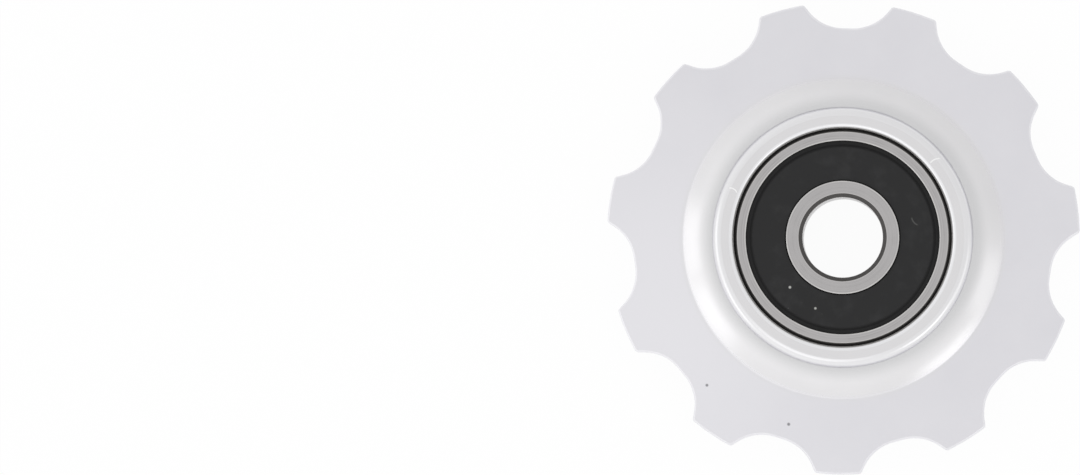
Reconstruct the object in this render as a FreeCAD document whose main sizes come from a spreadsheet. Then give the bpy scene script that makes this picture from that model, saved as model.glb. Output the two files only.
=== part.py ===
import FreeCAD
import Part
import Sketcher
import math
import os
import re

# A derailleur jockey wheel: an eleven-tooth aluminium wheel that turns on a sealed ball bearing.
# The axle lies along Z and the origin is at the middle of the bore, halfway through the bearing.
# Front means +Z, the side from which the bearing is pressed in. Lengths are in millimetres and
# angles in degrees.

# The driving sizes: alias in the sheet, value, and what it measures.
size_table = [
    # chain and teeth
    ("tooth_count", 11, "teeth round the wheel"),
    ("chain_pitch", 12.7, "pitch of the half-inch chain"),
    ("roller_diameter", 7.75, "diameter of a chain roller"),
    ("roller_room", 0.025, "how much larger than the roller's the seat radius is"),
    ("root_relief", 0.3, "room under a seated roller"),
    ("gap_float", 0.86, "flat bottom between the two seat arcs of a gap, which lets the chain float"),
    ("flank_angle", 50, "slope at which a seat arc runs out into the straight flank"),
    ("tooth_height", 2.31, "from the bottom of a gap to the tip"),
    ("tip_round", 0.35, "rounding of the tooth's corners"),
    ("plate_thickness", 2.0, "thickness of the toothed plate"),
    ("edge_break", 0.12, "small bevel on the plate's edges"),
    # hub and scoop of the wheel
    ("hub_wall", 1.86, "from the bearing seat to the outside of the hub, where the scoop starts"),
    ("hub_round", 0.8, "rounding of the hub's outer edge"),
    ("hub_drop", 0.55, "how far that rounding runs down before the scoop starts"),
    ("seat_round", 0.4, "rounded lead-in for the bearing at the front of its seat"),
    ("bearing_recess", 0.5, "how deep the bearing lies below each end of the hub"),
    ("lip_width", 0.75, "how far the lip behind the bearing reaches inwards"),
    ("lip_break", 0.15, "small bevel on the lip's edge"),
    ("scoop_width", 2.69, "from the outside of the hub to the crisp edge on the plate"),
    ("scoop_hollow", 7.0, "radius of the scoop's hollow section"),
    # bearing rings
    ("bore_diameter", 7.0, "bore of the inner ring"),
    ("ring_diameter", 19.0, "outside of the outer ring"),
    ("ring_chamfer", 0.3, "bevel on the outside of the outer ring"),
    ("bore_chamfer", 0.35, "bevel at both ends of the bore"),
    ("face_break", 0.08, "fine bevel on the edges of the ring faces"),
    ("race_depth", 0.62, "depth of a raceway under its shoulders"),
    ("race_conformity", 0.52, "raceway radius as a share of the ball's diameter"),
    ("race_clearance", 0.02, "gap between a ball and each raceway"),
    ("land_step", 0.4, "from the inner ring's shoulder down to the land that the seal runs on"),
    ("land_slope", 0.15, "length of the slanted step to that land"),
    ("ledge_width", 0.79, "from the outer ring's shoulder out to the edge of its face"),
    ("groove_depth", 0.16, "depth of the outer ring's seal groove under that edge"),
    ("groove_width", 0.33, "width of the seal groove"),
    # balls, cage and rivets
    ("ball_count", 7, "balls in the bearing"),
    ("ball_diameter", 3.5, "diameter of a ball"),
    ("pocket_clearance", 0.06, "gap between a ball and its pocket"),
    ("cage_thickness", 0.3, "sheet that the cage is pressed from"),
    ("cage_width", 1.7, "width of the cage's ribbon"),
    ("rivet_diameter", 0.6, "shank of a cage rivet"),
    ("rivet_head", 1.0, "diameter of its heads, where they lie on the cage"),
    ("rivet_head_height", 0.2, "height of its heads, over which they narrow to the shank's diameter"),
    # seals
    ("cage_to_seal", 0.12, "gap between the cage and the seal's core"),
    ("core_thickness", 0.2, "steel core of a seal"),
    ("core_width", 2.45, "width of the core's ring"),
    ("rubber_skin", 0.37, "rubber over the core"),
    ("seal_recess", 0.2, "how deep the seal lies below the faces of the rings"),
    ("lip_clearance", 0.05, "gap between the seal's lip and the inner ring"),
    ("lip_depth", 0.28, "width of the rubber inside the core, which forms the lip"),
    ("lip_lift", 0.15, "rise of the lip's underside towards its edge"),
    ("seal_edge", 0.1, "bevel round the seal's raised face"),
    ("bead_width", 0.4, "the low bead between the seal's raised face and the outer ring"),
    ("bead_drop", 0.2, "step down from the raised face to the bead"),
    ("bead_under", 0.1, "how far the bead reaches below the core"),
]
size_names = {row[0] for row in size_table}
tolerance = 1e-4

doc = FreeCAD.newDocument("jockey_wheel")
sheet = doc.addObject("Spreadsheet::Sheet", "Sizes")
for row_number, (alias, value, meaning) in enumerate(size_table, start=1):
    sheet.set(f"A{row_number}", alias)
    sheet.set(f"B{row_number}", str(value))
    sheet.set(f"C{row_number}", meaning)
    sheet.setAlias(f"B{row_number}", alias)
doc.recompute()

# Sizes that follow from the driving ones, written as formulas of them.
# The bearing's stack along the axle adds up to half of the standard 6 mm width.
pocket_radius = "(ball_diameter / 2 + pocket_clearance)"
bend_radius = f"({pocket_radius} + cage_thickness)"
core_bottom = f"({bend_radius} + cage_to_seal)"
core_top = f"({core_bottom} + core_thickness)"
seal_face = f"({core_top} + rubber_skin)"
half_bearing = f"({seal_face} + seal_recess)"
half_hub = f"({half_bearing} + bearing_recess)"
half_plate = "(plate_thickness / 2)"

# Radii of the bearing, from the bore outwards.
bore_radius = "(bore_diameter / 2)"
ring_radius = "(ring_diameter / 2)"
ball_circle = "((bore_diameter + ring_diameter) / 4)"
race_radius = "(ball_diameter * race_conformity)"
inner_race = f"({ball_circle} - ball_diameter / 2 - race_clearance)"
outer_race = f"({ball_circle} + ball_diameter / 2 + race_clearance)"
inner_shoulder = f"({inner_race} + race_depth)"
outer_shoulder = f"({outer_race} - race_depth)"
race_half_width = f"sqrt({race_radius} ^ 2 - ({race_radius} - race_depth) ^ 2)"
land_radius = f"({inner_shoulder} - land_step)"
face_radius = f"({outer_shoulder} + ledge_width)"
groove_radius = f"({face_radius} + groove_depth)"
ledge_height = f"({core_bottom} - bead_under)"
lip_radius = f"({land_radius} + lip_clearance)"
core_inside = f"({lip_radius} + lip_depth)"
core_outside = f"({core_inside} + core_width)"

# Radii of the wheel, from the hub outwards.
hub_radius = f"({ring_radius} + hub_wall)"
scoop_radius = f"({hub_radius} + scoop_width)"
seat_arc = "(roller_diameter / 2 + roller_room)"
root_radius = "(chain_pitch / 2 / sin(180 / tooth_count) - roller_diameter / 2 - root_relief)"
tip_radius = f"({root_radius} + tooth_height)"


def bound(formula):
    """The formula with each size's name pointing at its cell in the sheet."""
    return re.sub(r"[a-z_]+", lambda word: "Sizes." + word[0] if word[0] in size_names else word[0], formula)


def value_of(formula):
    """What the formula comes to with the sheet's present values."""
    return float(sheet.evalExpression(bound(formula)))


def new_sketch(body, plane, name):
    """An empty sketch on one of the body's own origin planes."""
    sketch = body.newObject("Sketcher::SketchObject", name)
    sketch.AttachmentSupport = [(feature, "") for feature in body.Origin.OriginFeatures if feature.Role == plane]
    sketch.MapMode = "FlatFace"
    return sketch


def side_geometry(start, end, bulge):
    """A straight side, or an arc of radius |bulge| that bulges to the left of its way if bulge is
    positive and to the right if it is negative. Arcs always run anticlockwise in a sketch, so the
    second value says whether the arc was turned round.
    """
    if not bulge:
        return Part.LineSegment(start, end), False
    chord = end - start
    left = FreeCAD.Vector(-chord.y, chord.x, 0).normalize()
    to_centre = math.sqrt(bulge ** 2 - chord.Length ** 2 / 4)
    centre = (start + end) / 2 - left * math.copysign(to_centre, bulge)
    turned = bulge > 0
    first, last = (end, start) if turned else (start, end)
    angles = [math.atan2(point.y - centre.y, point.x - centre.x) for point in (first, last)]
    circle = Part.Circle(centre, FreeCAD.Vector(0, 0, 1), abs(bulge))
    return Part.ArcOfCircle(circle, angles[0], angles[1]), turned


def draw_outline(sketch, corners):
    """A closed outline through the corners, each held in place by formulas of the sizes.

    A corner is (x, y) or (x, y, bulge): formulas for its place, and for the radius of the arc that
    leaves it, with a minus sign where the arc bulges to the right of its way.
    """
    places = [FreeCAD.Vector(value_of(corner[0]), value_of(corner[1]), 0) for corner in corners]
    starts, ends = [], []
    for number, corner in enumerate(corners):
        bulge = value_of(corner[2]) if len(corner) == 3 else 0
        shape, turned = side_geometry(places[number], places[(number + 1) % len(corners)], bulge)
        side = sketch.addGeometry(shape, False)
        starts.append((side, 2 if turned else 1))
        ends.append((side, 1 if turned else 2))
    for number, corner in enumerate(corners):
        sketch.addConstraint(Sketcher.Constraint("Coincident", *ends[number - 1], *starts[number]))
        for kind, axis, formula, place in (
            ("DistanceX", -2, corner[0], places[number].x),
            ("DistanceY", -1, corner[1], places[number].y),
        ):
            if formula == "0":
                sketch.addConstraint(Sketcher.Constraint("PointOnObject", *starts[number], axis))
                continue
            index = sketch.addConstraint(Sketcher.Constraint(kind, -1, 1, *starts[number], place))
            sketch.setExpression(f"Constraints[{index}]", bound(formula))
        if len(corner) == 3:
            radius = corner[2].lstrip("-")
            index = sketch.addConstraint(Sketcher.Constraint("Radius", starts[number][0], value_of(radius)))
            sketch.setExpression(f"Constraints[{index}]", bound(radius))


def mirrored(corners, to_the_left=False):
    """The same corners below the X axis, or to the left of the Y axis, in the opposite order, so
    that the outline goes on.
    """
    images = []
    for number in range(len(corners) - 1, -1, -1):
        x, y = corners[number][:2]
        place = (f"-{x}", y) if to_the_left else (x, f"-{y}")
        # the arc that leaves a corner arrives at its image
        bulge = corners[number - 1][2:] if number else ()
        images.append((*place, *bulge))
    return images


def turned_body(label, corners):
    """A body of revolution about the axle, from its half section: radius first, then height."""
    body = doc.addObject("PartDesign::Body", label)
    sketch = new_sketch(body, "XZ_Plane", f"{label}_section")
    draw_outline(sketch, corners)
    turning = body.newObject("PartDesign::Revolution", f"{label}_turning")
    turning.Profile = sketch
    turning.ReferenceAxis = (sketch, ["V_Axis"])
    turning.Angle = 360
    body.Tip = turning
    return body


def toothed_wheel():
    """The wheel, turned as one blank and then cut round its rim, gap by gap."""
    # The hub's edge is rounded off from its flat face. Where that rounding has run down far enough,
    # the scoop starts and falls in one hollow arc to a crisp edge on the plate.
    round_width = "sqrt(hub_drop * (2 * hub_round - hub_drop))"
    web = [
        (f"({hub_radius} - {round_width})", half_hub, "hub_round"),
        (hub_radius, f"({half_hub} - hub_drop)", "-scoop_hollow"),
        (scoop_radius, half_plate),
        (tip_radius, half_plate),
    ]
    lip_inside = f"({ring_radius} - lip_width)"
    seat_front = [
        (ring_radius, f"({half_hub} - seat_round)", "seat_round"),
        (f"({ring_radius} + seat_round)", half_hub),
    ]
    seat_back = [
        (f"({lip_inside} + lip_break)", f"-{half_hub}"),
        (lip_inside, f"-({half_hub} - lip_break)"),
        (lip_inside, f"-{half_bearing}"),
        (ring_radius, f"-{half_bearing}"),
    ]
    body = turned_body("toothed_wheel", seat_front + web + mirrored(web) + seat_back)
    blank = body.Tip

    # One gap between two teeth, centred on +Y: a flat bottom, a seat arc a little larger than the
    # roller on each side, straight flanks, and rounded corners that end on the tip circle.
    arc_x = f"(gap_float / 2 + {seat_arc} * sin(flank_angle))"
    arc_y = f"({root_radius} + {seat_arc} * (1 - cos(flank_angle)))"
    # where a corner's centre would be if the flank had no length
    base_x = f"({arc_x} + tip_round * sin(flank_angle))"
    base_y = f"({arc_y} - tip_round * cos(flank_angle))"
    along = f"({base_x} * cos(flank_angle) + {base_y} * sin(flank_angle))"
    reach = f"({tip_radius} - tip_round)"
    flank = f"(sqrt({reach} ^ 2 - {base_x} ^ 2 - {base_y} ^ 2 + {along} ^ 2) - {along})"
    corner_x = f"({base_x} + {flank} * cos(flank_angle))"
    corner_y = f"({base_y} + {flank} * sin(flank_angle))"
    flank_end = (
        f"({arc_x} + {flank} * cos(flank_angle))",
        f"({arc_y} + {flank} * sin(flank_angle))",
    )
    tip_corner = (f"({corner_x} * {tip_radius} / {reach})", f"({corner_y} * {tip_radius} / {reach})")
    above = f"({tip_radius} + tooth_height)"
    right = [
        ("(gap_float / 2)", root_radius, f"-{seat_arc}"),
        (arc_x, arc_y),
        (*flank_end, "tip_round"),
        tip_corner,
        (tip_corner[0], above),
    ]
    sketch = new_sketch(body, "XY_Plane", "tooth_gap_outline")
    draw_outline(sketch, right + mirrored(right, to_the_left=True))
    gap = body.newObject("PartDesign::Pocket", "tooth_gap")
    gap.Profile = sketch
    gap.Type = "ThroughAll"
    gap.SideType = "Symmetric"
    body.Tip = gap
    doc.recompute()

    gaps = body.newObject("PartDesign::PolarPattern", "tooth_gaps")
    gaps.Originals = [gap]
    gaps.Axis = (sketch, ["N_Axis"])
    gaps.Angle = 360
    gaps.setExpression("Occurrences", bound("tooth_count"))
    body.Tip = gaps
    doc.recompute()
    if not gaps.Shape.Volume < gap.Shape.Volume < blank.Shape.Volume:
        raise RuntimeError("the tooth gaps cut nothing")

    # The toothed outline is broken with a small bevel on both faces of the plate.
    level = value_of(half_plate)
    scoop_edge = value_of(scoop_radius)
    edge_names = []
    for number, edge in enumerate(gaps.Shape.Edges, start=1):
        middle = edge.valueAt((edge.FirstParameter + edge.LastParameter) / 2)
        in_face = edge.BoundBox.ZLength < tolerance and abs(abs(middle.z) - level) < tolerance
        if in_face and math.hypot(middle.x, middle.y) > scoop_edge + tolerance:
            edge_names.append(f"Edge{number}")
    bevel = body.newObject("PartDesign::Chamfer", "edge_bevel")
    bevel.Base = (gaps, edge_names)
    bevel.setExpression("Size", bound("edge_break"))
    body.Tip = bevel


def bearing_rings():
    """Both rings: ground raceways, seal ledge and groove outside, stepped seal land inside."""
    turned_body("bearing_inner_ring", inner_ring_section())
    turned_body("bearing_outer_ring", outer_ring_section())


def inner_ring_section():
    """Half section of the inner ring, from the raceway up over the shoulder and down to the bore."""
    upper = [
        (inner_shoulder, race_half_width),
        (inner_shoulder, ledge_height),
        (land_radius, f"({ledge_height} + land_slope)"),
        (land_radius, f"({half_bearing} - face_break)"),
        (f"({land_radius} - face_break)", half_bearing),
        (f"({bore_radius} + bore_chamfer)", half_bearing),
        (bore_radius, f"({half_bearing} - bore_chamfer)"),
    ]
    lower = mirrored(upper)
    lower[-1] = (*lower[-1], race_radius)
    return upper + lower


def outer_ring_section():
    """Half section of the outer ring, from the raceway up over the ledge and groove to the outside."""
    upper = [
        (outer_shoulder, race_half_width),
        (outer_shoulder, ledge_height),
        (groove_radius, ledge_height),
        (groove_radius, f"({ledge_height} + groove_width)"),
        (face_radius, f"({ledge_height} + groove_width + groove_depth)"),
        (face_radius, f"({half_bearing} - face_break)"),
        (f"({face_radius} + face_break)", half_bearing),
        (f"({ring_radius} - ring_chamfer)", half_bearing),
        (ring_radius, f"({half_bearing} - ring_chamfer)"),
    ]
    lower = mirrored(upper)
    lower[-1] = (*lower[-1], f"-{race_radius}")
    return upper + lower


def place_round_axle(piece, number, radius=ball_circle, height="0", tilt="0"):
    """Sets the piece at a radius and a height, and turned with its place round the axle, which is
    counted in steps from one ball to the next: 0 is on +Y. A tilt of 90 lays its own Z axis outwards.
    """
    angle = f"(90 + 360 * {number} / ball_count)"
    place = f"vector({radius} * cos({angle}); {radius} * sin({angle}); {height})"
    piece.setExpression("Placement", bound(f"placement({place}; rotation({angle}; {tilt}; 0))"))


def balls():
    """The balls, evenly spaced."""
    for number in range(int(value_of("ball_count"))):
        ball = doc.addObject("Part::Sphere", f"bearing_ball_{number + 1}")
        ball.setExpression("Radius", bound("ball_diameter / 2"))
        place_round_axle(ball, number)


def ribbon_band(name, height, facing):
    """A flat ring as wide as the cage's ribbon, from the plane of the balls towards one side."""
    disc = doc.addObject("Part::Cylinder", f"{name}_outside")
    disc.setExpression("Radius", bound(f"{ball_circle} + cage_width / 2"))
    hole = doc.addObject("Part::Cylinder", f"{name}_inside")
    hole.setExpression("Radius", bound(f"{ball_circle} - cage_width / 2"))
    for cylinder in (disc, hole):
        cylinder.setExpression("Height", bound(height))
        if facing < 0:
            cylinder.setExpression("Placement.Base.z", bound(f"-{height}"))
    band = doc.addObject("Part::Cut", name)
    band.Base = disc
    band.Tool = hole
    return band


def bend_over_ball(name, number, radius):
    """A cylinder that points away from the axle through the middle of a ball."""
    bend = doc.addObject("Part::Cylinder", name)
    bend.setExpression("Radius", bound(radius))
    bend.setExpression("Height", bound("2 * cage_width"))
    place_round_axle(bend, number, radius=f"({ball_circle} - cage_width)", tilt="90")
    return bend


def ribbon_cage(label, facing):
    """One half of the cage: a ribbon, bent over each ball and flat between them, with rivet holes."""
    bends, cutters = [], []
    for number in range(int(value_of("ball_count"))):
        bends.append(bend_over_ball(f"{label}_bend_{number + 1}", number, bend_radius))
        cutters.append(bend_over_ball(f"{label}_pocket_{number + 1}", number, pocket_radius))
        hole = doc.addObject("Part::Cylinder", f"{label}_rivet_hole_{number + 1}")
        hole.setExpression("Radius", bound("rivet_diameter / 2"))
        hole.setExpression("Height", bound("4 * cage_thickness"))
        place_round_axle(hole, number + 0.5, height="(-2 * cage_thickness)")
        cutters.append(hole)
    blank = doc.addObject("Part::MultiFuse", f"{label}_blank")
    blank.Shapes = [ribbon_band(f"{label}_lands", "cage_thickness", facing), *bends]
    pressed = doc.addObject("Part::MultiCommon", f"{label}_pressed")
    pressed.Shapes = [blank, ribbon_band(f"{label}_band", bend_radius, facing)]
    openings = doc.addObject("Part::MultiFuse", f"{label}_openings")
    openings.Shapes = cutters
    cage = doc.addObject("Part::Cut", label)
    cage.Base = pressed
    cage.Tool = openings


def cage_rivets():
    """The rivets that close the cage: a shank through both lands, with a head on each side."""
    upper = [
        ("(rivet_diameter / 2)", "cage_thickness"),
        ("(rivet_head / 2)", "cage_thickness"),
        ("(rivet_diameter / 2)", "(cage_thickness + rivet_head_height)"),
        ("0", "(cage_thickness + rivet_head_height)"),
    ]
    for number in range(int(value_of("ball_count"))):
        rivet = turned_body(f"cage_rivet_{number + 1}", upper + mirrored(upper))
        place_round_axle(rivet, number + 0.5)


def seal(label, facing):
    """A rubber seal: raised face, low bead snapped under the ring's edge, bevelled lip, core seat."""
    bead_inside = f"({face_radius} - bead_width)"
    bead_height = f"({seal_face} - bead_drop)"
    corners = [
        (lip_radius, f"({core_bottom} + lip_lift)"),
        (lip_radius, f"({seal_face} - seal_edge)"),
        (f"({lip_radius} + seal_edge)", seal_face),
        (f"({bead_inside} - seal_edge)", seal_face),
        (bead_inside, bead_height),
        (face_radius, bead_height),
        (face_radius, f"({ledge_height} + groove_width + groove_depth)"),
        (groove_radius, f"({ledge_height} + groove_width)"),
        (groove_radius, ledge_height),
        (core_outside, ledge_height),
        (core_outside, core_top),
        (core_inside, core_top),
        (core_inside, core_bottom),
        (f"({core_inside} - lip_depth / 2)", core_bottom),
    ]
    turned_body(label, corners if facing > 0 else mirrored(corners))


def seal_core(label, facing):
    """The flat steel washer that stiffens a seal, flush with the back of the rubber."""
    corners = [
        (core_inside, core_bottom),
        (core_outside, core_bottom),
        (core_outside, core_top),
        (core_inside, core_top),
    ]
    turned_body(label, corners if facing > 0 else mirrored(corners))


toothed_wheel()
bearing_rings()
balls()
cage_rivets()
for side, facing in (("front", 1), ("back", -1)):
    ribbon_cage(f"cage_{side}", facing)
    seal(f"seal_{side}", facing)
    seal_core(f"seal_core_{side}", facing)
doc.recompute()

for item in doc.Objects:
    if "Invalid" in item.State or "Error" in item.State:
        raise RuntimeError(f"{item.Label} failed: {item.State}")
    if item.TypeId == "Sketcher::SketchObject" and item.solve() != 0:
        raise RuntimeError(f"{item.Label} can't be solved")

# The pieces are the objects that nothing else is made from.
pieces = [
    item
    for item in doc.Objects
    if item.TypeId in ("PartDesign::Body", "Part::Sphere", "Part::Cut")
    and not any(user.isDerivedFrom("Part::Feature") for user in item.InList)
]
for piece in pieces:
    if piece.Shape.isNull() or not piece.Shape.isValid() or len(piece.Shape.Solids) != 1:
        raise RuntimeError(f"{piece.Label} is not one sound solid")

os.makedirs("parts", exist_ok=True)
for piece in pieces:
    piece.Shape.exportStep(f"parts/{piece.Label}.step")
    print(f"{piece.Label}: {piece.Shape.Volume:.3f} cubic mm")
print(f"{len(pieces)} pieces, bearing {2 * value_of(half_bearing):.2f} mm wide")
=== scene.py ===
# A derailleur jockey wheel on its sealed ball bearing, lying on a pale table under a soft light.
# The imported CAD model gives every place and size. Smooth surfaces worked out with numpy stand for its solids.
# Sections are written in millimetres and become metres when they are made into a mesh.
import math
import bmesh
import bpy
import numpy as np
from mathutils import Euler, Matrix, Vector


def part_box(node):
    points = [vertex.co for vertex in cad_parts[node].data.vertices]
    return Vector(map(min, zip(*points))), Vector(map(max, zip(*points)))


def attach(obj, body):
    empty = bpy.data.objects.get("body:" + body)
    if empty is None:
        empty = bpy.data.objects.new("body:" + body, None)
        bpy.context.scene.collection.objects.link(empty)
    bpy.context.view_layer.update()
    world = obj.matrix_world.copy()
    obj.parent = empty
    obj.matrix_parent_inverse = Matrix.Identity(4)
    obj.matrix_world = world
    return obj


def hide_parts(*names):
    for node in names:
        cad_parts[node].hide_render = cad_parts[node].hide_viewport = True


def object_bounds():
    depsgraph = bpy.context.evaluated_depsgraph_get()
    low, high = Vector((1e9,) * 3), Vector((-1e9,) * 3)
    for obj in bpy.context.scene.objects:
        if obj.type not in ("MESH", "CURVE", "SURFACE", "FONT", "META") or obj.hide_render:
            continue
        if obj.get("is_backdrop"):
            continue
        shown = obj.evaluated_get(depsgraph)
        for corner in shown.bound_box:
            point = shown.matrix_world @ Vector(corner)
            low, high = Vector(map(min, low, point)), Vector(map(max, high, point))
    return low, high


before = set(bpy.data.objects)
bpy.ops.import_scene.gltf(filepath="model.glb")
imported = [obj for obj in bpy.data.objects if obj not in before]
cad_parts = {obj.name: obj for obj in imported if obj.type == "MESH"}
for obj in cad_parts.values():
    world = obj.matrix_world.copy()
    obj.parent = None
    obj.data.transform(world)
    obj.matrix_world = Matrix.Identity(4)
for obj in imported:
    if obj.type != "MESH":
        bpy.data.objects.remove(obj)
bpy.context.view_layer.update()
scene = bpy.context.scene
mm = 0.001
fullTurn = 2 * math.pi


# The highest corner of a solid's box at rest, in mm to a hundredth.
def farCorner(node):
    return [round(value / mm, 2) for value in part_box(node)[1]]


# A new object in the scene.
def addObject(name, data):
    item = bpy.data.objects.new(name, data)
    scene.collection.objects.link(item)
    return item


# Camera
view = {
    "imageWidth": 1080,      # px
    "imageHeight": 475,      # px
    "axleInImage": (843.0, 238.0),   # px from the left and from the top, at the plate's front
    "scale": 11.44,          # px per mm there
    "plateHeight": 1.0,      # mm above the wheel's middle plane
    "distance": 0.8,         # m, which makes the bearing's face the little larger that it is seen
    "turn": 1.31,            # degrees that the wheel looks turned clockwise
    "leanDown": 1.7,         # degrees that the camera looks from below in the picture
    "leanRight": 2.9,        # and from the right; 1.9 of it makes up for the wheel's place in the picture
}


# The camera stands aside by as much as the axle lies off the image's middle, and turns and leans about the
# axle at the plate's front. Its lens makes the image as wide there as the scale says.
def makeCamera(size):
    camera = addObject("camera", bpy.data.cameras.new("camera"))
    aside = (size["axleInImage"][0] - size["imageWidth"] / 2) / size["scale"] * mm
    above = (size["imageHeight"] / 2 - size["axleInImage"][1]) / size["scale"] * mm
    camera.rotation_euler = [math.radians(size[name]) for name in ("leanDown", "leanRight", "turn")]
    offset = Vector((-aside, -above, size["distance"]))
    offset.rotate(Euler(camera.rotation_euler))
    camera.location = offset + Vector((0, 0, size["plateHeight"] * mm))
    seenWidth = size["imageWidth"] / size["scale"] * mm
    camera.data.lens = camera.data.sensor_width * size["distance"] / seenWidth
    scene.camera = camera


makeCamera(view)
scene.view_settings.view_transform = "Standard"
print("camera:", view["distance"], "m away")


# Settings that many nodes share
multiply = {"operation": "MULTIPLY"}
add = {"operation": "ADD"}
smooth = {"interpolation_type": "SMOOTHSTEP"}
colourMix = {"data_type": "RGBA"}
numberMix = {"data_type": "FLOAT"}
metal = {"Metallic": 1.0}


# An sRGB hex colour, as seen on a screen, to the linear numbers that shaders take.
def linearColour(hexColour):
    channels = np.array([int(hexColour[place:place + 2], 16) for place in (1, 3, 5)]) / 255
    linear = np.where(channels <= 0.04045, channels / 12.92, ((channels + 0.055) / 1.055) ** 2.4)
    return (*linear.tolist(), 1.0)


# One node with its settings; an input given as a socket is linked, and any other value is set on it. What
# comes back is the output asked for, or else the first one in use.
def addNode(tree, kind, settings=None, inputs=None, output=None):
    node = tree.nodes.new(kind)
    for name, value in (settings or {}).items():
        setattr(node, name, value)
    for name, value in (inputs or {}).items():
        if isinstance(value, bpy.types.NodeSocket):
            tree.links.new(value, node.inputs[name])
        else:
            node.inputs[name].default_value = value
    if output is not None:
        return node.outputs[output]
    return next((socket for socket in node.outputs if socket.enabled), None)


# The node tree of a new material or world, without the nodes it comes with.
def emptyTree(owner):
    owner.use_nodes = True
    owner.node_tree.nodes.clear()
    return owner.node_tree


# Table, world and lamps
studio = {
    "tableSize": 8.0,        # m
    "tableColour": "#FBFBFB",
    "tableOwnWhite": 0.95,   # share of the table that shows plain white to the camera
    "worldLow": 0.766,       # brightness of the room towards its dim side
    "worldHigh": 0.961,      # and towards its bright side
    "worldRise": 0.135,      # how much brighter its walls are than its ceiling
    "brightSide": (-0.730, -0.684, 0.0),   # direction of that side
}
lamps = {                    # azimuth and lean in degrees, distance and width in m, and radiance
    "lampLeft": (180, 62, 0.40, 0.16, 0.28),
    "lampLowLeft": (210, 62, 0.40, 0.16, 0.31),
    "lampLowRight": (315, 50, 0.40, 0.16, 0.46),
    "lampRight": (345, 62, 0.40, 0.16, 0.22),
    "lampNear": (250, 28, 0.12, 0.05, 0.29),
}


# A square table at the part's lowest height: nearly plain white to the camera and in reflections, with a soft
# shadow on the rest.
def makeTable(size, lowest):
    half = size["tableSize"] / 2
    mesh = bpy.data.meshes.new("table")
    corners = [(-half, -half, lowest), (half, -half, lowest), (half, half, lowest), (-half, half, lowest)]
    mesh.from_pydata(corners, [], [(0, 1, 2, 3)])
    table = addObject("table", mesh)
    material = bpy.data.materials.new("matte white card")   # soft shadow, no gloss
    tree = emptyTree(material)
    card = addNode(tree, "ShaderNodeBsdfDiffuse", None, {"Color": linearColour(size["tableColour"])})
    white = addNode(tree, "ShaderNodeEmission", None, {"Color": (1, 1, 1, 1), "Strength": 1.0})
    ray = tree.nodes.new("ShaderNodeLightPath").outputs
    seen = ray["Is Camera Ray"]
    for other in ("Is Glossy Ray", "Is Transmission Ray"):
        seen = addNode(tree, "ShaderNodeMath", {"operation": "MAXIMUM"}, {0: seen, 1: ray[other]})
    share = addNode(tree, "ShaderNodeMath", multiply, {0: seen, 1: size["tableOwnWhite"]})
    mixed = addNode(tree, "ShaderNodeMixShader", None, {0: share, 1: card, 2: white})
    addNode(tree, "ShaderNodeOutputMaterial", None, {"Surface": mixed})
    mesh.materials.append(material)
    table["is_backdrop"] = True


# Brightness of the room: it grows from its dim side to its bright side with the cosine of the direction, and
# from its ceiling to its walls with 1 - height.
def makeWorld(size):
    world = bpy.data.worlds.new("studio")
    scene.world = world
    tree = emptyTree(world)
    direction = addNode(tree, "ShaderNodeTexCoord", output="Generated")
    along = addNode(tree, "ShaderNodeVectorMath", {"operation": "DOT_PRODUCT"},
                    {0: direction, 1: size["brightSide"]})
    level = addNode(tree, "ShaderNodeMapRange", None,
                    {"Value": along, "From Min": -1.0, "From Max": 1.0, "To Min": size["worldLow"],
                     "To Max": size["worldHigh"]})
    height = addNode(tree, "ShaderNodeSeparateXYZ", None, {0: direction}, "Z")
    walls = addNode(tree, "ShaderNodeMapRange", None,
                    {"Value": height, "From Min": 1.0, "From Max": 0.0, "To Max": size["worldRise"]})
    both = addNode(tree, "ShaderNodeMath", add, {0: level, 1: walls})
    ray = addNode(tree, "ShaderNodeLightPath", output="Is Camera Ray")
    seen = addNode(tree, "ShaderNodeMix", numberMix, {"Factor": ray, "A": both, "B": 1.0})
    background = addNode(tree, "ShaderNodeBackground", None, {"Color": (1, 1, 1, 1), "Strength": seen})
    addNode(tree, "ShaderNodeOutputWorld", None, {"Surface": background})


# Square lamps that face the wheel, placed by azimuth and by lean from straight up. The power follows from how
# bright the lamp's own face looks: radiance times pi times its area.
def makeLamp(name, azimuth, lean, distance, width, radiance):
    lamp = bpy.data.lights.new(name, "AREA")
    lamp.shape = "SQUARE"
    lamp.size = width
    lamp.energy = radiance * math.pi * width ** 2
    holder = addObject(name, lamp)
    holder.rotation_euler = (0, math.radians(lean), math.radians(azimuth))
    holder.location = Vector((0, 0, distance))
    holder.location.rotate(holder.rotation_euler)
    holder.visible_camera = False


makeTable(studio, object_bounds()[0].z)
makeWorld(studio)
for lampName, lampSize in lamps.items():
    makeLamp(lampName, *lampSize)
print("studio: table, world and", len(lamps), "lamps")


# Shapes
sides = {"Front": 1, "Back": -1}   # of the bearing, and which way each faces
turning = {
    "bendStep": 14.0,        # degrees of a rounding between two rows
    "fewestSteps": 2,        # along a rounding
    "support": 0.05,         # mm from a rounding to the row that keeps the face beside it flat
    "supportShare": 0.3,     # and at most this share of a side's spare length
    "longest": 1.3,          # mm, longest way between two rows
    "columns": 300,          # round a bearing piece
    "creaseAngle": 35.0,     # degrees, sharper edges stay crisp
    "poleGap": 1e-7,         # m, points this close at a pole are joined
}


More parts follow.
